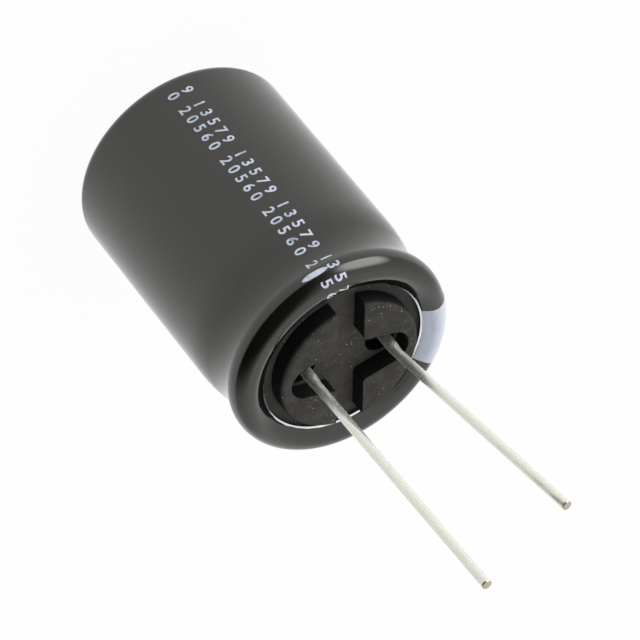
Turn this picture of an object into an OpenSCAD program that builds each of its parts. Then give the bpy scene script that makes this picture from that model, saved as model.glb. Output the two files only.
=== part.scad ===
// Radial electrolytic capacitor, standing on its closed end with both leads pointing up.
// The origin is the middle of the closed end's underside, +Z runs along the body towards the leads,
// and the row of leads lies along X with the longer positive lead on the +X side.

/* [Can] */
// Outside diameter of the drawn can
can_d = 18.1; // [16:0.1:20]
// Thickness of the can's wall and end
can_wall = 0.4; // [0.3:0.05:0.5]
// Height of the can from its end to the crest of its rolled rim
can_h = 25.67; // [23:0.01:30]
// Outside radius of the corner at the closed end
corner_r = 0.8; // [0.7:0.05:1.2]

/* [Bead] */
// Depth of the rolled bead below the rim
bead_depth = 1.2; // [1:0.05:1.4]
// Radius of the roll that presses the bead
bead_roll_r = 1.5; // [1.2:0.05:1.6]
// Radius of the shoulder below the bead
shoulder_r = 5; // [4.5:0.1:5.5]

/* [Rim] */
// How far the rolled rim stands out past the can's wall
rim_swell = 0.08; // [0:0.01:0.2]
// Radius of the rim's outer rounding
rim_r = 1.63; // [1.5:0.01:1.7]
// Elevation at which the outer rounding passes into the curl over the crest, in degrees
rim_turn = 48; // [44:1:56]
// Radius of the curl over the crest
curl_r = 0.75; // [0.6:0.01:0.9]
// Slope of the lip inside the curl, in degrees
lip_slope = 30; // [26:1:34]
// Length of the lip's sloping part, down to its cut edge
lip_length = 1; // [0.7:0.05:1.2]

/* [Pressure vent] */
// Length of each scored line across the closed end
vent_length = 10; // [6:0.5:12]
// Width of a scored line
vent_w = 0.3; // [0.2:0.05:0.5]
// Depth of a scored line
vent_depth = 0.15; // [0.05:0.01:0.2]

/* [Sleeve] */
// Thickness of the shrunk sleeve
sleeve_wall = 0.15; // [0.08:0.01:0.25]
// Radius of the shallow dip where the sleeve bridges the bead
dip_r = 6.1; // [5.5:0.1:6.5]
// Slope at which the sleeve leaves the rim for its dip, in degrees
dip_slope = 20; // [17:0.5:22]
// Length of the lip that the sleeve leaves bare at its cut edge
lip_bare = 0.15; // [0.05:0.05:0.6]
// Width of the ring that the sleeve turns over the closed end
sleeve_turn = 1.7; // [1.3:0.1:3]
// Width of the polarity stripe round the body, in degrees
stripe_angle = 40; // [20:0.5:60]
// Direction of the stripe's middle, in degrees from +X
stripe_heading = 172.8; // [150:0.1:200]
// Thickness of the stripe's film of ink
stripe_film = 0.02; // [0.01:0.005:0.04]
// Height of the stripe's lower edge above the closed end's corner
stripe_start = 0.4; // [0.2:0.1:3]

/* [Seal] */
// Thickness of the rubber bung below its face
bung_h = 5.3; // [4.8:0.1:6.5]
// Height of the two pads above the bung's face
pad_h = 1.54; // [1.2:0.02:2]
// Clearance between the pads and the lip's cut edge
pad_gap = 0.87; // [0.6:0.01:1.1]
// Width of the channel between the pads
channel_w = 2.28; // [1.4:0.02:2.8]
// Width of each pad's recess where it opens into the channel
mouth_w = 4.3; // [3.6:0.1:5]
// Radius of the recess's round end
recess_r = 1.58; // [1.4:0.02:1.7]
// Rounding of the pads' corners at the mouth of a recess
mouth_round = 0.4; // [0.2:0.05:0.5]
// Rounding of the pads' outer top edge
pad_round = 0.4; // [0.1:0.05:0.8]
// Clearance between the bung and the can
seal_gap = 0.02; // [0.01:0.01:0.05]

/* [Leads] */
// Distance between the two tabs in the bung
lead_pitch = 7; // [6.8:0.1:7.4]
// Distance from each tab's middle to its wire, towards -X
weld_offset = 0.25; // [0:0.05:0.4]
// Diameter of the lead wire
wire_d = 0.8; // [0.6:0.05:1]
// Diameter of the weld bead at the wire's foot
weld_d = 0.96; // [0.85:0.02:1.3]
// Height of the weld bead
weld_h = 3.2; // [1:0.1:3.4]
// Height above the pads at which a wire is bent
bend_height = 0.6; // [0.5:0.1:2]
// Swelling of a wire at its bend
bend_swell = 0.02; // [0.01:0.01:0.05]
// Lean of the positive wire towards -X, in degrees
positive_lean = 1.4; // [0:0.1:4]
// Length of the positive wire past its bend
positive_length = 23.3; // [15:0.1:30]
// Lean of the negative wire towards -X, in degrees
negative_lean = 7.9; // [2:0.1:12]
// Length of the negative wire past its bend
negative_length = 19.8; // [12:0.1:26]

/* [Tabs] */
// Diameter of the round part of a tab, inside the bung
boss_d = 2.6; // [2:0.05:2.9]
// Depth of a tab's round end below the bung's face
boss_recess = 1.2; // [0.5:0.1:1.6]
// Length of the round part that shows below the bung
boss_under = 0.4; // [0.2:0.05:0.6]
// Clearance between a tab and its hole in the bung
tab_gap = 0.02; // [0.01:0.01:0.05]
// Thickness of a tab's flat blade
blade_t = 0.2; // [0.12:0.02:0.24]
// Width of a tab's flat blade
blade_w = 2; // [1.4:0.1:2.2]
// Length of a blade inside the winding
blade_depth = 12; // [6:0.5:14]

/* [Winding] */
// Thickness of the anode foil
anode_t = 0.16; // [0.12:0.01:0.2]
// Thickness of the cathode foil
cathode_t = 0.12; // [0.08:0.01:0.16]
// Thickness of each paper separator
paper_t = 0.2; // [0.15:0.01:0.24]
// Thickness of the closing tape
tape_t = 0.08; // [0.05:0.01:0.12]
// Clearance between neighbouring turns
turn_gap = 0.03; // [0.02:0.01:0.04]
// Extra room that a tab's blade makes between two turns
blade_room = 0.6; // [0.55:0.01:0.7]
// Half turns inside the positive tab
inner_half_turns = 4; // [2:2:6]
// Clearance between the winding and the can
winding_gap = 0.35; // [0.3:0.05:0.6]
// Clearance between the winding and the bung
bung_clearance = 1.1; // [0.9:0.1:2]
// How far the foils stop short of the papers' edges
foil_inset = 0.8; // [0.5:0.1:1.5]
// Height of the closing tape
tape_h = 12; // [6:0.5:15]

/* [Hidden] */
$fn = 128;
arc_steps = 12;
cut = 1;

can_r = can_d / 2;
can_z = sleeve_wall;
crest_z = can_z + can_h;
end_inside_z = can_z + can_wall;

curl_z = crest_z - curl_r;
rim_centre_r = can_r + rim_swell - rim_r;
rim_z = curl_z - (rim_r - curl_r) * sin(rim_turn);
curl_centre_r = rim_centre_r + (rim_r - curl_r) * cos(rim_turn);
lip_turn = 90 + lip_slope;
function lip_point(depth, length) = [curl_centre_r, curl_z]
    + (curl_r - depth) * [cos(lip_turn), sin(lip_turn)] - length * [cos(lip_slope), sin(lip_slope)];

bead_centre_r = can_r - bead_depth + bead_roll_r;
bead_reach = bead_centre_r - rim_centre_r;
bead_rise = sqrt(pow(rim_r + bead_roll_r, 2) - pow(bead_reach, 2));
bead_turn = atan2(bead_rise, bead_reach);
bead_z = rim_z - bead_rise;
shoulder_drop = sqrt(pow(shoulder_r + bead_roll_r, 2) - pow(shoulder_r + bead_roll_r - bead_depth, 2));
shoulder_z = bead_z - shoulder_drop;
shoulder_turn = atan2(shoulder_drop, bead_centre_r - can_r + shoulder_r);

// The sleeve's dip, and its shoulder that starts where the can's does and meets the dip without a kink
dip_centre_r = rim_centre_r + (rim_r + dip_r) * cos(dip_slope);
dip_z = rim_z - (rim_r + dip_r) * sin(dip_slope);
dip_reach = dip_centre_r - can_r;
dip_rise = dip_z - shoulder_z;
sleeve_shoulder_r = (pow(dip_reach, 2) + pow(dip_rise, 2) - pow(dip_r, 2)) / (2 * (dip_r - dip_reach));
sleeve_turn_in = atan2(dip_rise, dip_reach + sleeve_shoulder_r);
sleeved_lip = lip_length - lip_bare;

seal_depth = can_wall + seal_gap;
face_z = lip_point(seal_depth, lip_length)[1];
pad_r = lip_point(0, lip_length)[0] - pad_gap;
bung_z = face_z - bung_h;
pad_z = face_z + pad_h;
lead_x = lead_pitch / 2;
mouth_taper = atan2(mouth_w / 2 - recess_r, lead_x - channel_w / 2);
hole_d = boss_d + 2 * tab_gap;
boss_top_z = face_z - boss_recess;
boss_bottom_z = bung_z - boss_under;

paper_top_z = bung_z - bung_clearance;
paper_h = paper_top_z - end_inside_z;
foil_z = end_inside_z + foil_inset;
foil_h = paper_h - 2 * foil_inset;
blade_z = foil_z + foil_h - blade_depth;
tape_z = end_inside_z + (paper_h - tape_h) / 2;

// The layers of one turn, from the inside out
ANODE = 0;
INNER_PAPER = 1;
CATHODE = 2;
OUTER_PAPER = 3;
TAPE = 4;
layer_t = [anode_t, paper_t, cathode_t, paper_t, tape_t];
function layer_start(j) = j == 0 ? 0 : layer_start(j - 1) + layer_t[j - 1] + turn_gap;
turn_pitch = layer_start(TAPE);
half_pitch = turn_pitch / 2;
positive_half = inner_half_turns;
negative_half = inner_half_turns - 1;
core_r = lead_x - inner_half_turns * half_pitch - blade_room;
winding_r = can_r - can_wall - winding_gap;
half_turns = 1 + floor((winding_r - tape_t - core_r - turn_pitch - 2 * blade_room) / half_pitch);

// Radius and centre of half turn k of layer j: even halves lie on the +X side, odd ones on the -X side
function past(k, first) = k >= first ? 1 : 0;
function blade_steps(j, k) = past(k, positive_half) + past(k, negative_half + (j < CATHODE ? 2 : 0));
function turn_r(j, k) = core_r + layer_start(j) + half_pitch * k + blade_room * blade_steps(j, k);
function turn_y(j, k) = k == 0 ? 0 :
    turn_y(j, k - 1) + (k % 2 == 0 ? 1 : -1) * (turn_r(j, k) - turn_r(j, k - 1));
winding_y = -turn_y(TAPE, half_turns - 1);

function arc(centre_r, centre_z, radius, from, to) = [for (i = [0:arc_steps])
    let (a = from + (to - from) * i / arc_steps)
    [centre_r + radius * cos(a), centre_z + radius * sin(a)]];
function reversed(points) = [for (i = [len(points) - 1:-1:0]) points[i]];

// The rim from where the sleeve leaves it to a point on the lip, moved inwards by depth
function rim_line(depth, length) = concat(
    arc(rim_centre_r, rim_z, rim_r - depth, -dip_slope, rim_turn),
    arc(curl_centre_r, curl_z, curl_r - depth, rim_turn, lip_turn),
    [lip_point(depth, length)]);

// The can's whole line from its shoulder through the bead to the lip's end
function beaded_line(depth) = concat(
    arc(can_r - shoulder_r, shoulder_z, shoulder_r - depth, 0, shoulder_turn),
    arc(bead_centre_r, bead_z, bead_roll_r + depth, 180 + shoulder_turn, 180 - bead_turn),
    arc(rim_centre_r, rim_z, rim_r - depth, -bead_turn, -dip_slope),
    rim_line(depth, lip_length));

// The sleeve's line over the same stretch, lifted off the can's wall
function bridged_line(lift) = concat(
    arc(can_r - sleeve_shoulder_r, shoulder_z, sleeve_shoulder_r + lift, 0, sleeve_turn_in),
    arc(dip_centre_r, dip_z, dip_r - lift, 180 + sleeve_turn_in, 180 - dip_slope),
    rim_line(-lift, sleeved_lip));

// The closed end's corner, with the flat end in front of it from start_r, moved inwards by depth
function corner_line(depth, start_r) = concat(
    [[start_r, can_z + depth]],
    arc(can_r - corner_r, can_z + corner_r, corner_r - depth, -90, 0));

module sleeve() {
    ring_r = can_r - sleeve_turn;
    color([0.17, 0.17, 0.16])
        rotate_extrude()
            polygon(concat(corner_line(-sleeve_wall, ring_r), bridged_line(sleeve_wall),
                reversed(concat(corner_line(0, ring_r), bridged_line(0)))));
}

module polarity_stripe() {
    start_z = can_z + corner_r + stripe_start;
    outer = sleeve_wall + stripe_film;
    color([0.72, 0.78, 0.85])
        rotate([0, 0, stripe_heading - stripe_angle / 2])
            rotate_extrude(angle = stripe_angle)
                polygon(concat([[can_r + outer, start_z]], bridged_line(outer),
                    reversed(bridged_line(sleeve_wall)), [[can_r + sleeve_wall, start_z]]));
}

// Drawn cup with its rolled bead, its turned-in rim and a crossed score that lets pressure out
module can() {
    color([0.8, 0.81, 0.83])
        difference() {
            rotate_extrude()
                polygon(concat(corner_line(0, 0), beaded_line(0),
                    reversed(concat(corner_line(can_wall, 0), beaded_line(can_wall)))));
            for (turn = [0, 90])
                rotate([0, 0, turn])
                    translate([-vent_length / 2, -vent_w / 2, can_z - cut])
                        cube([vent_length, vent_w, cut + vent_depth]);
        }
}

// Plan of one pad's recess, from the middle of the channel to its round end
module recess_plan() {
    translate([lead_x, 0])
        circle(r = recess_r);
    polygon([[0, mouth_w / 2], [channel_w / 2, mouth_w / 2], [lead_x, recess_r],
        [lead_x, -recess_r], [channel_w / 2, -mouth_w / 2], [0, -mouth_w / 2]]);
}

// Waste outside the rounding of one corner at a recess's mouth
module mouth_corner_waste() {
    corner = [channel_w / 2, mouth_w / 2];
    centre = corner + mouth_round * [1, (1 - sin(mouth_taper)) / cos(mouth_taper)];
    difference() {
        polygon([corner, [corner[0], centre[1]], centre,
            centre - mouth_round * [sin(mouth_taper), cos(mouth_taper)]]);
        translate(centre)
            circle(r = mouth_round);
    }
}

module pads_plan() {
    difference() {
        circle(r = pad_r);
        square([channel_w, 2 * pad_r + cut], center = true);
        for (side = [0, 1])
            mirror([side, 0]) {
                recess_plan();
                for (half = [0, 1])
                    mirror([0, half])
                        mouth_corner_waste();
            }
    }
}

// Outer form that rounds the pads' top edge
module pads_form() {
    rotate_extrude()
        polygon(concat([[0, face_z], [pad_r, face_z]],
            arc(pad_r - pad_round, pad_z - pad_round, pad_round, 0, 90), [[0, pad_z]]));
}

module rubber_bung() {
    color([0.22, 0.22, 0.21])
        difference() {
            union() {
                intersection() {
                    rotate_extrude()
                        polygon(concat([[can_r - seal_depth, bung_z - cut]], beaded_line(seal_depth),
                            [[0, face_z], [0, bung_z - cut]]));
                    translate([0, 0, bung_z])
                        cylinder(h = crest_z - bung_z, r = can_r);
                }
                intersection() {
                    translate([0, 0, face_z])
                        linear_extrude(pad_h)
                            pads_plan();
                    pads_form();
                }
            }
            for (side = [-1, 1])
                translate([side * lead_x, 0, bung_z - cut])
                    cylinder(h = bung_h + 2 * cut, d = hole_d);
        }
}

// Tinned wire that stands on its tab, is bent once and runs straight to its cut tip
module lead_wire(foot_x, lean, straight) {
    bend_z = pad_z + bend_height;
    translate([foot_x, 0, boss_top_z]) {
        cylinder(h = bend_z - boss_top_z, d = wire_d);
        cylinder(h = weld_h, d = weld_d);
    }
    translate([foot_x, 0, bend_z]) {
        sphere(d = wire_d + bend_swell);
        rotate([0, -lean, 0])
            cylinder(h = straight, d = wire_d);
    }
}

module positive_lead() {
    color([0.84, 0.84, 0.8])
        lead_wire(lead_x - weld_offset, positive_lean, positive_length);
}

module negative_lead() {
    color([0.84, 0.84, 0.8])
        lead_wire(-lead_x - weld_offset, negative_lean, negative_length);
}

// Round post in the bung with a flat blade that lies against half turn k of layer j
module tab(side, j, k) {
    blade_r = turn_r(j, k) - turn_gap;
    translate([side * lead_x, 0, boss_bottom_z])
        cylinder(h = boss_top_z - boss_bottom_z, d = boss_d);
    intersection() {
        translate([0, turn_y(j, k) + winding_y, blade_z])
            difference() {
                cylinder(h = boss_bottom_z + boss_under - blade_z, r = blade_r);
                translate([0, 0, -cut])
                    cylinder(h = boss_bottom_z + boss_under - blade_z + 2 * cut, r = blade_r - blade_t);
            }
        translate([side < 0 ? -2 * lead_x : 0, -blade_w / 2, blade_z - cut])
            cube([2 * lead_x, blade_w, boss_top_z - blade_z + cut]);
    }
}

module positive_tab() {
    color([0.78, 0.79, 0.8])
        tab(1, ANODE, positive_half);
}

module negative_tab() {
    color([0.78, 0.79, 0.8])
        tab(-1, CATHODE, negative_half);
}

// Half turns first to last of layer j, each a half ring that ends where the next one starts
module wound_strip(j, first, last, z, height) {
    translate([0, winding_y, z])
        for (k = [first:last])
            translate([0, turn_y(j, k), 0])
                rotate([0, 0, k % 2 == 0 ? -90 : 90])
                    rotate_extrude(angle = 180)
                        translate([turn_r(j, k), 0])
                            square([layer_t[j], height]);
}

module anode_foil() {
    color([0.6, 0.62, 0.64])
        wound_strip(ANODE, 0, half_turns - 2, foil_z, foil_h);
}

module inner_separator() {
    color([0.9, 0.84, 0.68])
        wound_strip(INNER_PAPER, 0, half_turns - 1, end_inside_z, paper_h);
}

module cathode_foil() {
    color([0.74, 0.75, 0.77])
        wound_strip(CATHODE, 0, half_turns - 2, foil_z, foil_h);
}

module outer_separator() {
    color([0.88, 0.82, 0.66])
        wound_strip(OUTER_PAPER, 0, half_turns - 1, end_inside_z, paper_h);
}

module closing_tape() {
    color([0.85, 0.75, 0.3])
        wound_strip(TAPE, half_turns - 2, half_turns - 1, tape_z, tape_h);
}

sleeve();
polarity_stripe();
can();
rubber_bung();
positive_lead();
negative_lead();
positive_tab();
negative_tab();
anode_foil();
inner_separator();
cathode_foil();
outer_separator();
closing_tape();
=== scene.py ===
# Looks of a radial electrolytic capacitor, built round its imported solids
import bisect
import math
import random

import bmesh
import bpy
from mathutils import Matrix, Vector, noise
from mathutils.kdtree import KDTree


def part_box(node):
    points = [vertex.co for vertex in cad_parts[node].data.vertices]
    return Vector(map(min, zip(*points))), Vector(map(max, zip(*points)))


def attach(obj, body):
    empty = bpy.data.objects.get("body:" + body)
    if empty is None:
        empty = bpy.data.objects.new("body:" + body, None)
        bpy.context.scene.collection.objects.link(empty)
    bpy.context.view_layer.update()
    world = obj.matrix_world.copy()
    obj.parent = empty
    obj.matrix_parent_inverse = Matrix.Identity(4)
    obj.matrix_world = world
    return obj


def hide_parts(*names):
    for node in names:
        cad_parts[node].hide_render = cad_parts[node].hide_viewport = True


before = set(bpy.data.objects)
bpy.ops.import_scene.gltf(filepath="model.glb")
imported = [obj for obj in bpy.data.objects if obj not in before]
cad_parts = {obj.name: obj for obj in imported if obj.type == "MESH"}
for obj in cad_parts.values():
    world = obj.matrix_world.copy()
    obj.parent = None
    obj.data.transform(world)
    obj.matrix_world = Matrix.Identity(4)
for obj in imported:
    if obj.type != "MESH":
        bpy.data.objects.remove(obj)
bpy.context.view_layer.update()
mm = 0.001


# The camera comes first, where the photograph was taken from, all in millimetres
cameraView = {"place": (123.27, -240.73, 229.16), "target": (-0.35, -0.18, 21.22),
              "roll": 140.65, "lens": 253.1, "near": 10.0}


def placeCamera(view):
    camera = bpy.data.objects.new("camera", bpy.data.cameras.new("camera"))
    bpy.context.scene.collection.objects.link(camera)
    camera.data.lens = view["lens"]
    camera.data.clip_start = view["near"] * mm
    place = Vector(view["place"]) * mm
    look = (Vector(view["target"]) * mm - place).to_track_quat("-Z", "Y").to_matrix().to_4x4()
    roll = Matrix.Rotation(math.radians(view["roll"]), 4, "Z")
    camera.matrix_world = Matrix.Translation(place) @ look @ roll
    bpy.context.scene.camera = camera


placeCamera(cameraView)
print("camera placed")


# Node materials
def newMaterial(name):
    material = bpy.data.materials.new(name)
    material.use_nodes = True
    return material, material.node_tree, material.node_tree.nodes["Principled BSDF"]


def addNode(tree, kind, settings=None, **inputs):
    node = tree.nodes.new("ShaderNode" + kind)
    for key, value in (settings or {}).items():
        setattr(node, key, value)
    for key, value in inputs.items():
        socket = node.inputs[int(key[1:])] if key[0] == "i" and key[1:].isdigit() else node.inputs[key]
        if isinstance(value, bpy.types.NodeSocket):
            tree.links.new(value, socket)
        else:
            socket.default_value = value
    return node


def objectPlace(tree):
    return addNode(tree, "TexCoord").outputs["Object"]


def math2(tree, operation, a, b, clamp=False):
    return addNode(tree, "Math", {"operation": operation, "use_clamp": clamp}, i0=a, i1=b).outputs[0]


def remap(tree, value, fromLow, fromHigh, toLow, toHigh):
    node = addNode(tree, "MapRange", {"interpolation_type": "SMOOTHSTEP"}, Value=value)
    node.inputs["From Min"].default_value = fromLow
    node.inputs["From Max"].default_value = fromHigh
    node.inputs["To Min"].default_value = toLow
    node.inputs["To Max"].default_value = toHigh
    return node.outputs["Result"]


def mixColour(tree, amount, first, second):
    return addNode(tree, "Mix", {"data_type": "RGBA"}, i0=amount, i6=first, i7=second).outputs[2]


def noiseOf(tree, place, scale, detail=3.0, roughness=0.55):
    return addNode(tree, "TexNoise", None, Vector=place, Scale=scale, Detail=detail,
                   Roughness=roughness).outputs["Fac"]


# Fine grains of dust: one grain in some of the cells, none in the others
def dustOf(tree, place, cell, grain, share):
    cells = addNode(tree, "TexVoronoi", {"feature": "F1"}, Vector=place, Scale=1 / (cell * mm))
    size = addNode(tree, "SeparateColor", None, Color=cells.outputs["Color"])
    chosen = math2(tree, "LESS_THAN", size.outputs[0], share)
    radius = math2(tree, "MULTIPLY", size.outputs[1], grain / cell)
    grainMask = math2(tree, "LESS_THAN", cells.outputs["Distance"], radius)
    return math2(tree, "MULTIPLY", chosen, grainMask)


# How far the surface faces up, the same from every viewpoint
def upwardOf(tree):
    normal = addNode(tree, "NewGeometry").outputs["Normal"]
    return addNode(tree, "SeparateXYZ", None, Vector=normal).outputs["Z"]


def bumpFrom(tree, shader, height, distance):
    bump = addNode(tree, "Bump", None, Strength=1.0, Distance=distance, Height=height)
    tree.links.new(bump.outputs[0], shader.inputs["Normal"])


def filmMaterial():
    look = {"colour": (0.0066, 0.0061, 0.0052, 1), "pale": (0.0088, 0.0082, 0.0072, 1),
            "dust": (0.42, 0.41, 0.38, 1), "smooth": 0.09, "worn": 0.15, "dustRoughness": 0.5,
            "cloudScale": 260, "grains": {"cell": 1.7, "grain": 0.08, "share": 0.1},
            "rippleScale": 900, "rippleStretch": (1, 1, 0.25), "rippleDepth": 0.003,
            "refraction": 1.64, "tint": (1, 0.985, 0.94, 1)}
    material, tree, shader = newMaterial("shrunk_film")
    place = objectPlace(tree)
    cloud = noiseOf(tree, place, look["cloudScale"])
    dust = dustOf(tree, place, **look["grains"])
    shade = mixColour(tree, cloud, look["colour"], look["pale"])
    tree.links.new(mixColour(tree, dust, shade, look["dust"]), shader.inputs["Base Color"])
    gloss = remap(tree, cloud, 0.35, 0.7, look["smooth"], look["worn"])
    dulled = math2(tree, "ADD", gloss, math2(tree, "MULTIPLY", dust, look["dustRoughness"]))
    tree.links.new(dulled, shader.inputs["Roughness"])
    stretched = addNode(tree, "Mapping", None, Vector=place, Scale=look["rippleStretch"]).outputs[0]
    bumpFrom(tree, shader, noiseOf(tree, stretched, look["rippleScale"], 2.0), look["rippleDepth"] * mm)
    shader.inputs["IOR"].default_value = look["refraction"]
    shader.inputs["Specular Tint"].default_value = look["tint"]
    return material


def inkMaterial(name, colour, worn, roughness):
    look = {"cloudScale": 1500, "duller": 0.12, "depth": 0.003}
    material, tree, shader = newMaterial(name)
    cloud = noiseOf(tree, objectPlace(tree), look["cloudScale"], 4.0)
    shade = mixColour(tree, remap(tree, cloud, 0.45, 0.75, 0, 1), colour, worn)
    tree.links.new(shade, shader.inputs["Base Color"])
    gloss = remap(tree, cloud, 0.3, 0.7, roughness, roughness + look["duller"])
    tree.links.new(gloss, shader.inputs["Roughness"])
    bumpFrom(tree, shader, cloud, look["depth"] * mm)
    return material


# Dust lies on what faces up, and painted shade keeps the walls of the pads and the wells near black
def rubberMaterial():
    # wall is the near-black colour painted on walls and in wells as shade
    look = {"wall": (0.005, 0.005, 0.0047, 1), "colour": (0.036, 0.0342, 0.0305, 1),
            "pale": (0.057, 0.054, 0.0478, 1), "dust": (0.55, 0.54, 0.49, 1), "webTop": 24.86, "padTop": 26.4,
            "wellShade": (0.4, 0.1), "sunkenDustAndLightLevel": 0.45,
            "cloudScale": 900, "grainScale": 6000, "patchScale": 330,
            "fine": {"cell": 0.2, "grain": 0.06, "share": 0.3},
            "coarse": {"cell": 0.7, "grain": 0.085, "share": 0.3},
            "smooth": 0.62, "rough": 0.82, "relief": 0.02, "sheen": 0.2}
    material, tree, shader = newMaterial("moulded_rubber")
    place = objectPlace(tree)
    cloud = noiseOf(tree, place, look["cloudScale"], 5.0, 0.65)
    grain = noiseOf(tree, place, look["grainScale"], 3.0, 0.6)
    patch = remap(tree, noiseOf(tree, place, look["patchScale"], 2.0), 0.42, 0.62, 0, 0.8)
    fine = math2(tree, "MULTIPLY", dustOf(tree, place, **look["fine"]), patch)
    dust = math2(tree, "MAXIMUM", fine, dustOf(tree, place, **look["coarse"]))
    facing = upwardOf(tree)
    height = addNode(tree, "SeparateXYZ", None, Vector=place).outputs["Z"]
    # Painted shade: below the web the wells' floors fade to the wall's shade colour
    wellLow, wellHigh = [(look["webTop"] - depth) * mm for depth in look["wellShade"]]
    paintedWellShade = remap(tree, height, wellLow, wellHigh, 1, 0)
    # upwards is high on up-facing faces, which take the lit colour and the dust; the rest takes the painted
    # shade
    upwards = math2(tree, "SUBTRACT", remap(tree, facing, 0.25, 0.9, 0, 1), paintedWellShade, True)
    # Toward the web the floor is painted paler: partly dust gathered there, partly painted light against the
    # channel's occlusion
    sunkenDustAndLight = remap(tree, height, look["webTop"] * mm, look["padTop"] * mm, look["sunkenDustAndLightLevel"], 0)
    worn = math2(tree, "ADD", remap(tree, cloud, 0.4, 0.7, 0, 1), sunkenDustAndLight)
    shade = mixColour(tree, worn, look["colour"], look["pale"])
    shade = mixColour(tree, math2(tree, "MULTIPLY", dust, upwards), shade, look["dust"])
    # Walls and wells get the painted shade colour instead of the rubber's own
    tree.links.new(mixColour(tree, upwards, look["wall"], shade), shader.inputs["Base Color"])
    tree.links.new(remap(tree, grain, 0.3, 0.7, look["smooth"], look["rough"]), shader.inputs["Roughness"])
    relief = math2(tree, "ADD", math2(tree, "MULTIPLY", grain, 0.5), dust)
    bumpFrom(tree, shader, relief, look["relief"] * mm)
    shader.inputs["Specular IOR Level"].default_value = look["sheen"]
    return material


# Tinned wire: pale and smooth, scuffed up to the given height, and dull where it was cut
def wireMaterial(scuffTop):
    look = {"tin": (0.88, 0.87, 0.79, 1), "scuff": (0.5, 0.5, 0.47, 1), "cut": (0.5, 0.46, 0.38, 1),
            "smooth": 0.14, "rough": 0.62, "fadeBelow": 1.5, "fadeAbove": 6.0, "scuffRoughness": 0.8,
            "streakStretch": (1, 1, 0.3), "markScale": 7000, "pitScale": 9000, "rippleScale": 2600,
            "rippleDepth": 0.005, "metallic": 0.7}
    material, tree, shader = newMaterial("tinned_wire")
    place = objectPlace(tree)
    height = addNode(tree, "SeparateXYZ", None, Vector=place).outputs["Z"]
    fadeStart, fadeEnd = scuffTop - look["fadeBelow"], scuffTop + look["fadeAbove"]
    low = remap(tree, height, fadeStart * mm, fadeEnd * mm, 1, 0.12)
    streak = addNode(tree, "Mapping", None, Vector=place, Scale=look["streakStretch"]).outputs[0]
    marks = remap(tree, noiseOf(tree, streak, look["markScale"], 4.0, 0.8), 0.47, 0.56, 0.1, 1)
    pits = remap(tree, noiseOf(tree, place, look["pitScale"], 2.0), 0.6, 0.7, 0, 1)
    wear = math2(tree, "MULTIPLY", math2(tree, "MAXIMUM", marks, pits), low, True)
    cut = remap(tree, upwardOf(tree), 0.25, 0.6, 0, 1)
    shade = mixColour(tree, wear, look["tin"], look["scuff"])
    tree.links.new(mixColour(tree, cut, shade, look["cut"]), shader.inputs["Base Color"])
    worn = math2(tree, "MAXIMUM", math2(tree, "MULTIPLY", low, look["scuffRoughness"]), cut)
    tree.links.new(remap(tree, worn, 0, 1, look["smooth"], look["rough"]), shader.inputs["Roughness"])
    bumpFrom(tree, shader, noiseOf(tree, streak, look["rippleScale"], 3.0), look["rippleDepth"] * mm)
    shader.inputs["Metallic"].default_value = look["metallic"]
    return material


def metalMaterial(name, colour, roughness, grainScale, depth=0.004):
    material, tree, shader = newMaterial(name)
    grain = noiseOf(tree, objectPlace(tree), grainScale, 4.0)
    darker = tuple(c * 0.8 for c in colour[:3]) + (1,)
    tree.links.new(mixColour(tree, grain, darker, colour), shader.inputs["Base Color"])
    tree.links.new(remap(tree, grain, 0.3, 0.7, roughness, roughness + 0.15), shader.inputs["Roughness"])
    bumpFrom(tree, shader, grain, depth * mm)
    shader.inputs["Metallic"].default_value = 1
    return material


def sheetMaterial(name, colour, roughness, grainScale):
    material, tree, shader = newMaterial(name)
    fibres = noiseOf(tree, objectPlace(tree), grainScale, 5.0, 0.7)
    darker = tuple(c * 0.75 for c in colour[:3]) + (1,)
    tree.links.new(mixColour(tree, fibres, darker, colour), shader.inputs["Base Color"])
    bumpFrom(tree, shader, fibres, 0.01 * mm)
    shader.inputs["Roughness"].default_value = roughness
    return material


print("materials ready")


# Pieces ride on the one body, and edges that turn more than this many degrees stay sharp
sharpTurn = 32


def addPiece(name, bm, material, slot, *nodes):
    mesh = bpy.data.meshes.new(name)
    bm.to_mesh(mesh)
    bm.free()
    mesh.shade_smooth()
    mesh.set_sharp_from_angle(angle=math.radians(sharpTurn))
    piece = bpy.data.objects.new(name, mesh)
    bpy.context.scene.collection.objects.link(piece)
    mesh.materials.append(material)
    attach(piece, "root")
    if nodes:
        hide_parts(*nodes)
    return piece


# The can's form, measured on its outer surface, and the film's over it, in millimetres and degrees
can = {"radius": 9.05, "corner": 0.8, "beadDepth": 1.2, "rollRadius": 1.5, "shoulder": 5.0, "rimSwell": 0.08,
       "rimRadius": 1.63, "rimTurn": 48.0, "curlRadius": 0.75, "lipSlope": 30.0, "lipLength": 1.0}
film = {"thickness": 0.15, "cutEdge": 0.06, "ringWidth": 1.7, "dipRadius": 6.1, "dipSlope": 20.0,
        "bareLip": 0.15, "wave": 0.02, "waveScale": (0.3, 0.3, 0.16), "ragged": 0.06, "raggedScale": 3.1,
        "nickScale": 11.0, "nickShare": 0.6, "ringShort": 0.08, "ringRagged": 0.8, "evenRows": 3,
        "turnSteps": 288, "footSteps": 14, "wallSteps": 24, "shoulderSteps": 10, "dipSteps": 24,
        "rimSteps": 24, "curlSteps": 20, "lipSteps": 8}
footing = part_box("sleeve")[0].z / mm + film["thickness"]
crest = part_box("sleeve")[1].z / mm - film["thickness"]


def turned(length, degrees):
    return Vector((math.cos(math.radians(degrees)), math.sin(math.radians(degrees)))) * length


def arcPoints(centre, radius, start, end, steps):
    return [centre + turned(radius, start + (end - start) * i / steps) for i in range(steps + 1)]


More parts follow.
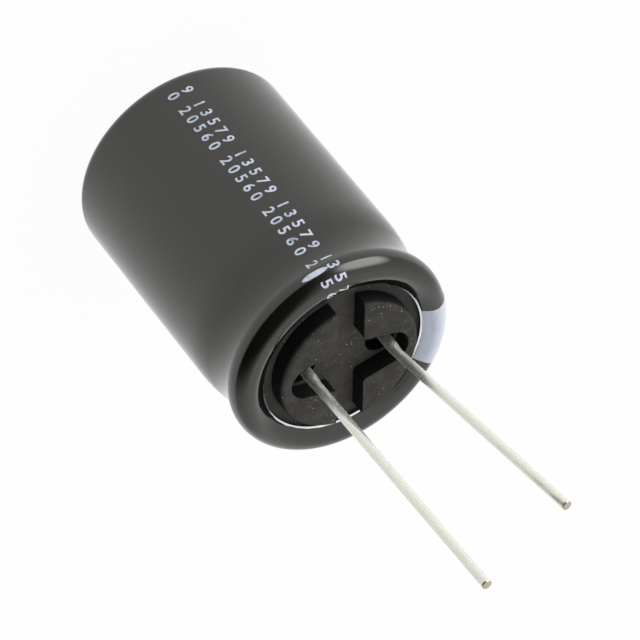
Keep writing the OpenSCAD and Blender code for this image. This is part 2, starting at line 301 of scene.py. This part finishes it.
rimCentre = Vector((can["radius"] + can["rimSwell"] - can["rimRadius"], crest - can["curlRadius"]))
curlCentre = rimCentre + turned(can["rimRadius"] - can["curlRadius"], can["rimTurn"])
rimCentre.y -= curlCentre.y - (crest - can["curlRadius"])
curlCentre.y = crest - can["curlRadius"]
lipTurn = 90 + can["lipSlope"]


# Where the can's shoulder starts: its bead is a roll that touches the rim's rounding and the shoulder
def shoulderHeight():
    roll = can["rollRadius"]
    reach = can["radius"] - can["beadDepth"] + roll - rimCentre.x
    beadHeight = rimCentre.y - math.sqrt((can["rimRadius"] + roll) ** 2 - reach ** 2)
    both = can["shoulder"] + roll
    return beadHeight - math.sqrt(both ** 2 - (both - can["beadDepth"]) ** 2)


# The film's outside over the bead and the rim, lift out from the can, thinner at its cut edge
def bridgeLine(lift, edgeLift):
    start = Vector((can["radius"], shoulderHeight()))
    dip = rimCentre + turned(can["rimRadius"] + film["dipRadius"], -film["dipSlope"])
    reach, rise = dip - start
    shoulder = (reach ** 2 + rise ** 2 - film["dipRadius"] ** 2) / (2 * (film["dipRadius"] - reach))
    turnIn = math.degrees(math.atan2(rise, reach + shoulder))
    slope = film["dipSlope"]
    points = arcPoints(start - Vector((shoulder, 0)), shoulder + lift, 0, turnIn, film["shoulderSteps"])
    points += arcPoints(dip, film["dipRadius"] - lift, 180 + turnIn, 180 - slope, film["dipSteps"])[1:]
    points += arcPoints(rimCentre, can["rimRadius"] + lift, -slope, can["rimTurn"], film["rimSteps"])[1:]
    points += arcPoints(curlCentre, can["curlRadius"] + lift, can["rimTurn"], lipTurn, film["curlSteps"])[1:]
    length = can["lipLength"] - film["bareLip"]
    for i in range(1, film["lipSteps"] + 1):
        share = i / film["lipSteps"]
        raised = lift + (edgeLift - lift) * share ** 2
        onLip = turned(can["curlRadius"] + raised, lipTurn) + turned(length * share, lipTurn + 90)
        points.append(curlCentre + onLip)
    return points


def sleeveLine(lift, edgeLift):
    foot = Vector((can["radius"] - can["corner"], footing + can["corner"]))
    points = [Vector((can["radius"] - film["ringWidth"], footing - lift))]
    points += arcPoints(foot, can["corner"] + lift, -90, 0, film["footSteps"])
    bridge = bridgeLine(lift, edgeLift)
    steps = film["wallSteps"]
    points += [points[-1].lerp(bridge[0], i / steps) for i in range(1, steps)]
    return points + bridge


# Turns a closed section round Z, or only part of the way with both ends capped
def turnSection(points, start=0.0, turn=360.0, steps=256):
    bm = bmesh.new()
    corners = [bm.verts.new((r * mm, 0, z * mm)) for r, z in points]
    edges = [bm.edges.new((corners[i], corners[i - 1])) for i in range(len(corners))]
    bmesh.ops.rotate(bm, verts=corners, matrix=Matrix.Rotation(math.radians(start), 3, "Z"))
    bmesh.ops.spin(bm, geom=corners + edges, axis=(0, 0, 1), cent=(0, 0, 0), angle=math.radians(turn),
                   steps=steps, use_merge=turn == 360.0)
    bmesh.ops.remove_doubles(bm, verts=bm.verts, dist=1e-7)
    bmesh.ops.holes_fill(bm, edges=[e for e in bm.edges if e.is_boundary], sides=0)
    bmesh.ops.recalc_face_normals(bm, faces=bm.faces)
    return bm


def makeSleeve():
    outside, inside = sleeveLine(film["thickness"], film["cutEdge"]), sleeveLine(0, 0)
    bm = turnSection(outside + inside[::-1], steps=film["turnSteps"])
    known = KDTree(len(outside) * 2)
    for i, point in enumerate(outside + inside):
        known.insert((*point, 0), i)
    known.balance()
    downLip = turned(1, lipTurn + 90)
    for vert in bm.verts:
        heading = Vector((*vert.co.xy, 0)).normalized()
        index = known.find((vert.co.xy.length / mm, vert.co.z / mm, 0))[1]
        fromMouth = len(outside) - 1 - index % len(outside)
        nick = film["nickShare"] * noise.noise(heading * film["nickScale"])
        ragged = film["ragged"] * (noise.noise(heading * film["raggedScale"]) + nick)
        if fromMouth < film["lipSteps"]:  # the film's cut edge wanders along the lip
            shift = downLip * ragged * (1 - fromMouth / film["lipSteps"]) * mm
            vert.co += heading * shift.x + Vector((0, 0, shift.y))
        elif index % len(outside) == 0:
            vert.co -= heading * (film["ringShort"] * mm + film["ringRagged"] * ragged * mm)
        if film["footSteps"] + 1 < index < len(outside) - film["evenRows"]:  # the wall isn't quite even
            swell = noise.noise(vert.co * Vector(film["waveScale"]) / mm)
            vert.co -= vert.normal * film["wave"] * (0.5 + 0.5 * swell) * mm
    return addPiece("shrunk_sleeve", bm, filmMaterial(), "sleeve_film", "sleeve")


stripe = {"heading": 172.8, "width": 40.0, "start": 0.4, "ink": 0.02, "sunk": 0.05, "edgeBase": 0.01,
          "ragged": 0.05, "raggedScale": 1.7, "sideTolerance": 0.01, "wallSteps": 90, "turnSteps": 44,
          "colour": (0.58, 0.63, 0.73, 1), "worn": (0.5, 0.55, 0.66, 1), "roughness": 0.16}


def makeStripe():
    start = footing + can["corner"] + stripe["start"]
    lines = []
    for lift, edgeLift in ((film["thickness"] + stripe["ink"], film["cutEdge"] + stripe["ink"]),
                           (film["thickness"] - stripe["sunk"], stripe["edgeBase"])):
        bridge = bridgeLine(lift, edgeLift)
        foot = Vector((can["radius"] + lift, start))
        steps = stripe["wallSteps"]
        lines.append([foot.lerp(bridge[0], i / steps) for i in range(steps)] + bridge)
    firstSide = stripe["heading"] - stripe["width"] / 2
    bm = turnSection(lines[0] + lines[1][::-1], firstSide, stripe["width"], stripe["turnSteps"])
    for vert in bm.verts:  # a printed edge bleeds a little
        angle = math.degrees(math.atan2(vert.co.y, vert.co.x)) % 360 - stripe["heading"]
        if abs(abs(angle) - stripe["width"] / 2) < stripe["sideTolerance"]:
            spot = vert.co / mm * stripe["raggedScale"] + Vector((0, 0, angle))
            drift = noise.noise(spot) * stripe["ragged"] / can["radius"]
            vert.co = Matrix.Rotation(drift, 3, "Z") @ vert.co
    ink = inkMaterial("stripe_ink", stripe["colour"], stripe["worn"], stripe["roughness"])
    return addPiece("polarity_field", bm, ink, "stripe_ink", "polarity_stripe")


# Digits are laid on the film: along is the distance up its outer line from the wall's foot
class FilmSurface:
    def __init__(self, lift):
        self.points = [Vector((can["radius"] + lift, footing + can["corner"]))]
        self.points += bridgeLine(lift, lift - film["thickness"] + film["cutEdge"])
        self.lengths = [0.0]
        for a, b in zip(self.points, self.points[1:]):
            self.lengths.append(self.lengths[-1] + (b - a).length)

    def place(self, along, heading):
        i = min(max(bisect.bisect_right(self.lengths, along) - 1, 0), len(self.points) - 2)
        share = (along - self.lengths[i]) / (self.lengths[i + 1] - self.lengths[i])
        radius, height = self.points[i].lerp(self.points[i + 1], share)
        return Vector((radius * math.cos(heading), radius * math.sin(heading), height)) * mm


# A dash of ink follows the two rows where the film rises to the rim
printing = {"size": 1.3, "bold": 0.02, "pitch": 1.15, "period": 6.45, "first": -3.3, "copies": 5,
            "ink": 0.014, "sunk": 0.05, "rows": (("13579", -86.9), ("20560", -79.3)),
            "start": 0.5, "end": 26.5,
            "centre": 0.35, "sideCuts": 9, "sideCutStep": 0.1, "upCuts": 4, "upCutStep": 0.2,
            "dash": {"along": 23.65, "height": 0.5, "from": -83.6, "to": -69.8, "blunt": 1.02, "steps": 16},
            "colour": (0.70, 0.76, 0.90, 1), "worn": (0.36, 0.40, 0.48, 1), "roughness": 0.3}


def digitMesh(digit):
    curve = bpy.data.curves.new("digit", "FONT")
    curve.body = digit
    curve.size = printing["size"]
    curve.align_x = "CENTER"
    curve.offset = printing["bold"]
    holder = bpy.data.objects.new("digit", curve)
    bpy.context.scene.collection.objects.link(holder)
    mesh = bpy.data.meshes.new_from_object(holder.evaluated_get(bpy.context.evaluated_depsgraph_get()))
    bpy.data.objects.remove(holder)
    bm = bmesh.new()
    bm.from_mesh(mesh)
    bmesh.ops.remove_doubles(bm, verts=bm.verts, dist=1e-4)
    sideways, upwards = printing["sideCuts"], printing["upCuts"]
    cuts = [((step * printing["sideCutStep"], 0, 0), (1, 0, 0)) for step in range(-sideways, sideways + 1)]
    cuts += [((0, step * printing["upCutStep"], 0), (0, 1, 0)) for step in range(1, upwards + 1)]
    for place, normal in cuts:  # cut into strips, so that the digit can bend onto the film
        whole = bm.verts[:] + bm.edges[:] + bm.faces[:]
        bmesh.ops.bisect_plane(bm, geom=whole, plane_co=place, plane_no=normal)
    bmesh.ops.triangulate(bm, faces=bm.faces)
    bm.to_mesh(mesh)
    bm.free()
    return mesh


def makePrint():
    base = FilmSurface(film["thickness"] - printing["sunk"])
    top = FilmSurface(film["thickness"] + printing["ink"])
    dash = printing["dash"]
    bm = bmesh.new()

    # Raises the newest faces into a thin body of ink and lays it on the film
    def layInk(fresh, place):
        faces = list({face for vert in fresh for face in vert.link_faces})
        flat = {vert: vert.co.copy() for vert in fresh}
        raised = bmesh.ops.extrude_face_region(bm, geom=faces)["geom"]
        upper = {vert: vert.co.copy() for vert in raised if isinstance(vert, bmesh.types.BMVert)}
        for surface, points in ((base, flat), (top, upper)):
            for vert, co in points.items():
                vert.co = surface.place(*place(co))

    for digits, heading in printing["rows"]:
        for copy in range(printing["copies"]):
            for i, digit in enumerate(digits):
                middle = printing["first"] + copy * printing["period"] + i * printing["pitch"]
                nearDash = abs(middle - dash["along"]) < printing["size"] / 2
                onDash = nearDash and dash["from"] < heading < dash["to"]
                if onDash or not printing["start"] < middle < printing["end"]:
                    continue
                count = len(bm.verts)
                bm.from_mesh(digitMesh(digit))
                bm.verts.ensure_lookup_table()
                centre = printing["size"] * printing["centre"]
                layInk(bm.verts[count:], lambda co: (
                    middle + co.x, math.radians(heading) - (co.y - centre) / can["radius"]))
    fresh = bmesh.ops.create_grid(bm, x_segments=dash["steps"], y_segments=2, size=0.5)["verts"]
    # The dash is a stretched oval with blunt ends
    layInk(fresh, lambda co: (
        dash["along"] + co.y * dash["height"] * math.sqrt(max(dash["blunt"] - 4 * co.x ** 2, 0)),
        math.radians(dash["from"] + (co.x + 0.5) * (dash["to"] - dash["from"]))))
    bmesh.ops.recalc_face_normals(bm, faces=bm.faces)
    ink = inkMaterial("print_ink", printing["colour"], printing["worn"], printing["roughness"])
    return addPiece("printed_digits", bm, ink, "stripe_ink")


makeSleeve()
makeStripe()
makePrint()
print("sleeve and its print made")


def copyNode(name):
    bm = bmesh.new()
    bm.from_mesh(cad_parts[name].data)
    bmesh.ops.remove_doubles(bm, verts=bm.verts, dist=2e-6)
    return bm


# Only the pads' sharp edges are softened: those near the top and clear of the rim
seal = {"edge": 0.07, "edgeSteps": 3, "sharp": 40.0, "softDepth": 1.2, "softReach": 6.6, "flat": 0.5}


def makeSeal():
    bm = copyNode("rubber_bung")
    bmesh.ops.dissolve_limit(bm, angle_limit=math.radians(seal["flat"]), verts=bm.verts, edges=bm.edges)
    lowest, reach = (crest - seal["softDepth"]) * mm, seal["softReach"] * mm
    sharp = [e for e in bm.edges
             if len(e.link_faces) == 2 and e.calc_face_angle() > math.radians(seal["sharp"])
             and min(v.co.z for v in e.verts) > lowest and max(v.co.xy.length for v in e.verts) < reach]
    bmesh.ops.bevel(bm, geom=sharp, offset=seal["edge"] * mm, offset_type="OFFSET",
                    segments=seal["edgeSteps"], profile=0.5, affect="EDGES", material=-1, clamp_overlap=True)
    bmesh.ops.triangulate(bm, faces=[f for f in bm.faces if len(f.verts) > 4])
    return addPiece("moulded_seal", bm, rubberMaterial(), "seal_rubber", "rubber_bung")


makeSeal()
print("seal made")


wires = {"radius": 0.4, "footRadius": 0.48, "weldRadius": 0.47, "weldTop": 26.85, "bendHeight": 26.996,
         "bendRadius": 4.0, "bendSteps": 6, "sides": 32, "step": 0.2, "tipRound": 0.05, "tipSteps": 2,
         "swellDrop": 0.25, "swellSoftness": 0.12, "shrink": 0.006,
         "dent": 0.008, "dentScale": (0.9, 0.9, 0.8), "weldDent": 0.02, "weldDentScale": 3.5}
tinned = wireMaterial(wires["weldTop"])


# A ring of points is drawn along the wire: up from the tab, round the bend and on to the cut tip
def makeWire(name, node, lean, straight, seed):
    low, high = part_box(node)
    foot = Vector((0, 0, low.z / mm))
    foot.x = high.x / mm - wires["footRadius"]
    tangent = wires["bendRadius"] * math.tan(math.radians(lean) / 2)
    stations = []
    height = foot.z
    while height < wires["bendHeight"] - tangent:
        stations.append((Vector((foot.x, 0, height)), 0.0))
        height += wires["step"]
    bendStart = Vector((foot.x, 0, wires["bendHeight"] - tangent))
    for i in range(wires["bendSteps"] + 1):
        turn = math.radians(lean) * i / wires["bendSteps"]
        offset = Vector((math.cos(turn) - 1, 0, math.sin(turn))) * wires["bendRadius"]
        stations.append((bendStart + offset, turn))
    bendEnd, turn = stations[-1]
    along = Vector((-math.sin(turn), 0, math.cos(turn)))
    reach = straight - tangent
    count = int(reach / wires["step"])
    stations += [(bendEnd + along * reach * i / count, turn) for i in range(1, count + 1)]
    rng = random.Random(seed)
    drift = Vector((rng.uniform(0, 9), rng.uniform(0, 9), rng.uniform(0, 9)))
    bm = bmesh.new()
    bmesh.ops.create_circle(bm, segments=wires["sides"], radius=wires["radius"] * mm)
    ring = bm.verts[:]
    edges = bm.edges[:]
    rings = [ring]
    for _ in stations[1:]:
        made = bmesh.ops.extrude_edge_only(bm, edges=edges)["geom"]
        ring = [g for g in made if isinstance(g, bmesh.types.BMVert)]
        edges = [g for g in made if isinstance(g, bmesh.types.BMEdge) and all(v in ring for v in g.verts)]
        rings.append(ring)
    for ring, (centre, turn) in zip(rings, stations):
        overWeld = centre.z - wires["weldTop"] + wires["swellDrop"]
        swell = 1 / (1 + math.exp(overWeld / wires["swellSoftness"]))
        radius = wires["radius"] + (wires["weldRadius"] - wires["radius"]) * swell
        placing = Matrix.Translation(centre * mm) @ Matrix.Rotation(-turn, 4, "Y")
        for vert in ring:
            unit = vert.co.xy.normalized()
            spot = Vector((unit.x, unit.y, centre.z)) * Vector(wires["dentScale"]) + drift
            rough = wires["dent"] * noise.noise(spot)
            rough += wires["weldDent"] * swell * noise.noise(spot * wires["weldDentScale"])
            size = (radius - wires["shrink"] + rough) * mm
            vert.co = placing @ Vector((unit.x * size, unit.y * size, 0))
    bm.faces.new(rings[0])
    tip = bm.faces.new(rings[-1])
    bmesh.ops.recalc_face_normals(bm, faces=bm.faces)
    bmesh.ops.bevel(bm, geom=tip.edges[:], offset=wires["tipRound"] * mm, segments=wires["tipSteps"],
                    profile=0.5, affect="EDGES", material=-1)
    return addPiece(name, bm, tinned, "tinned_wire", node)


makeWire("positive_wire", "positive_lead", 1.4, 23.3, 3)
makeWire("negative_wire", "negative_lead", 7.9, 19.8, 8)
print("wires made")


# The can and what it holds keep their solids and take their own finishes, the tabs' darkened as painted shade
hidden = {
    "can": metalMaterial("drawn_aluminium", (0.86, 0.87, 0.88, 1), 0.26, 700),
    # The tabs' dark grey is dull aluminium darkened further as painted shade, so their bosses don't shine
    # white in the wells
    "positive_tab": metalMaterial("pressed_tab", (0.3, 0.3, 0.3, 1), 0.5, 1800, depth=0.01),
    "anode_foil": metalMaterial("etched_foil", (0.4, 0.41, 0.43, 1), 0.6, 4000, depth=0.01),
    "cathode_foil": metalMaterial("plain_foil", (0.62, 0.63, 0.65, 1), 0.4, 1500),
    "inner_separator": sheetMaterial("soaked_paper", (0.62, 0.52, 0.33, 1), 0.7, 3000),
    "closing_tape": sheetMaterial("tape_film", (0.6, 0.42, 0.06, 1), 0.3, 500),
}
hidden["negative_tab"] = hidden["positive_tab"]
hidden["outer_separator"] = hidden["inner_separator"]
for nodeName, finish in hidden.items():
    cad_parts[nodeName].data.materials.clear()
    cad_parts[nodeName].data.materials.append(finish)
print("inner pieces finished")


# Studio: a white world, dark on one side and brighter on two, over a pale floor that the camera sees as white
studio = {"zenith": 1.2, "horizon": 0.62, "horizonFrom": -0.1, "zenithFrom": 0.95, "darkness": 0.98,
          "floor": {"radius": 105.0, "sides": 96, "drop": 0.02, "seen": 0.96,
                    "colour": (0.8, 0.8, 0.8, 1), "roughness": 0.9},
          "dark": {"heading": -33.0, "inner": 0.766, "outer": 0.1},
          "back": {"heading": 117.0, "inner": 0.97, "outer": 0.7, "more": 0.45},
          "soft": {"heading": -129.0, "inner": 0.975, "outer": 0.87, "more": 4.0}}


def headingVector(degrees):
    return (math.cos(math.radians(degrees)), math.sin(math.radians(degrees)), 0)


def makeWorld():
    world = bpy.data.worlds.new("studio")
    bpy.context.scene.world = world
    world.use_nodes = True
    tree = world.node_tree
    background = tree.nodes["Background"]
    heading = addNode(tree, "TexCoord").outputs["Generated"]
    height = addNode(tree, "SeparateXYZ", None, Vector=heading).outputs["Z"]

    def towards(zone):
        centre = headingVector(zone["heading"])
        dot = addNode(tree, "VectorMath", {"operation": "DOT_PRODUCT"}, i0=heading, i1=centre)
        return remap(tree, dot.outputs["Value"], zone["outer"], zone["inner"], 0, 1)

    level = remap(tree, height, studio["horizonFrom"], studio["zenithFrom"],
                  studio["horizon"], studio["zenith"])
    for lamp in (studio["back"], studio["soft"]):
        level = math2(tree, "ADD", level, math2(tree, "MULTIPLY", towards(lamp), lamp["more"]))
    shade = math2(tree, "MULTIPLY", towards(studio["dark"]), studio["darkness"])
    level = math2(tree, "MULTIPLY", level, math2(tree, "SUBTRACT", 1.0, shade))
    seen = addNode(tree, "LightPath").outputs["Is Camera Ray"]
    strength = addNode(tree, "Mix", {"data_type": "FLOAT"}, i0=seen, i2=level, i3=1.0).outputs[0]
    background.inputs["Color"].default_value = (1, 1, 1, 1)
    tree.links.new(strength, background.inputs["Strength"])


def makeFloor():
    look = studio["floor"]
    bm = bmesh.new()
    bmesh.ops.create_circle(bm, cap_ends=True, segments=look["sides"], radius=look["radius"] * mm,
                            matrix=Matrix.Translation((0, 0, -look["drop"] * mm)))
    mesh = bpy.data.meshes.new("floor")
    bm.to_mesh(mesh)
    bm.free()
    floor = bpy.data.objects.new("floor", mesh)
    bpy.context.scene.collection.objects.link(floor)
    material, tree, shader = newMaterial("pale_floor")
    shader.inputs["Base Color"].default_value = look["colour"]
    shader.inputs["Roughness"].default_value = look["roughness"]
    path = addNode(tree, "LightPath")
    glow = addNode(tree, "Emission", None, Color=(1, 1, 1, 1), Strength=1.0)
    seen = math2(tree, "MULTIPLY", path.outputs["Is Camera Ray"], look["seen"])
    seen = math2(tree, "MAXIMUM", seen, path.outputs["Is Glossy Ray"])
    seen = math2(tree, "MAXIMUM", seen, path.outputs["Is Transmission Ray"])
    mixed = addNode(tree, "MixShader", None, i0=seen, i1=shader.outputs[0], i2=glow.outputs[0])
    tree.links.new(mixed.outputs[0], tree.nodes["Material Output"].inputs["Surface"])
    mesh.materials.append(material)


makeWorld()
makeFloor()
bpy.context.scene.view_settings.view_transform = "Standard"
print("studio set")
